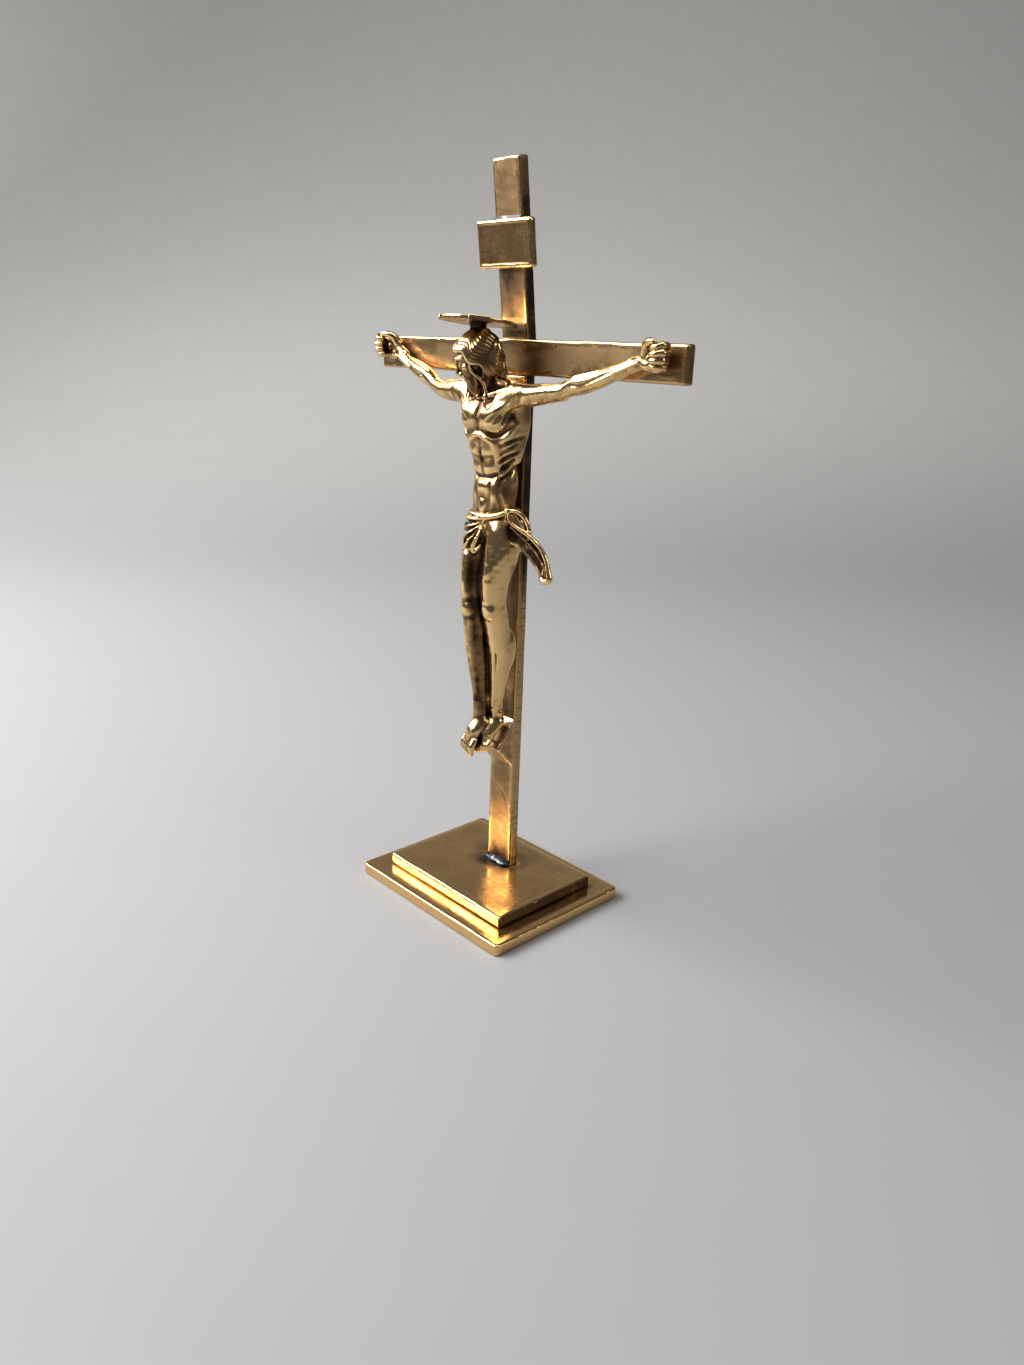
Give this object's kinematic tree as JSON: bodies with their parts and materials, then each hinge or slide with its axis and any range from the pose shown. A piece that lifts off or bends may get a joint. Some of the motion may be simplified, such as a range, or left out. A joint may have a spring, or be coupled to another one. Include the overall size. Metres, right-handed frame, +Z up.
{
  "type": "table crucifix",
  "caption": "Standing table crucifix in patinated brass: flat-bar cross on a stepped rectangular base, cast figure with halo, bare title tablet and wedge footrest.",
  "frame": {"origin": "middle of the lower base plate's underside", "axes": "+Z up along the upright, the figure faces -Y, +X to the viewer's right when facing it"},
  "size_m": [0.114, 0.05, 0.202],
  "materials": {
    "base_brass": "polished and worn",
    "bar_brass": "antique patina, file marks",
    "cast_brass": "cast, polished high spots over dark patina",
    "dark_brass": "dark patina",
    "solder": "glossy dark solder"
  },
  "bodies": {
    "root": {"base_plate_lower": "base_brass", "base_plate_upper": "base_brass", "upright": "bar_brass", "crossbeam": "bar_brass", "footrest": "bar_brass", "title_plate": "cast_brass", "title_solder": "solder", "upright_solder": "solder", "corpus_body": "cast_brass", "corpus_right_arm": "cast_brass", "corpus_left_arm": "cast_brass", "halo": "cast_brass", "halo_post": "dark_brass", "hand_nails": "cast_brass", "foot_nail": "cast_brass"}
  },
  "joints": []
}
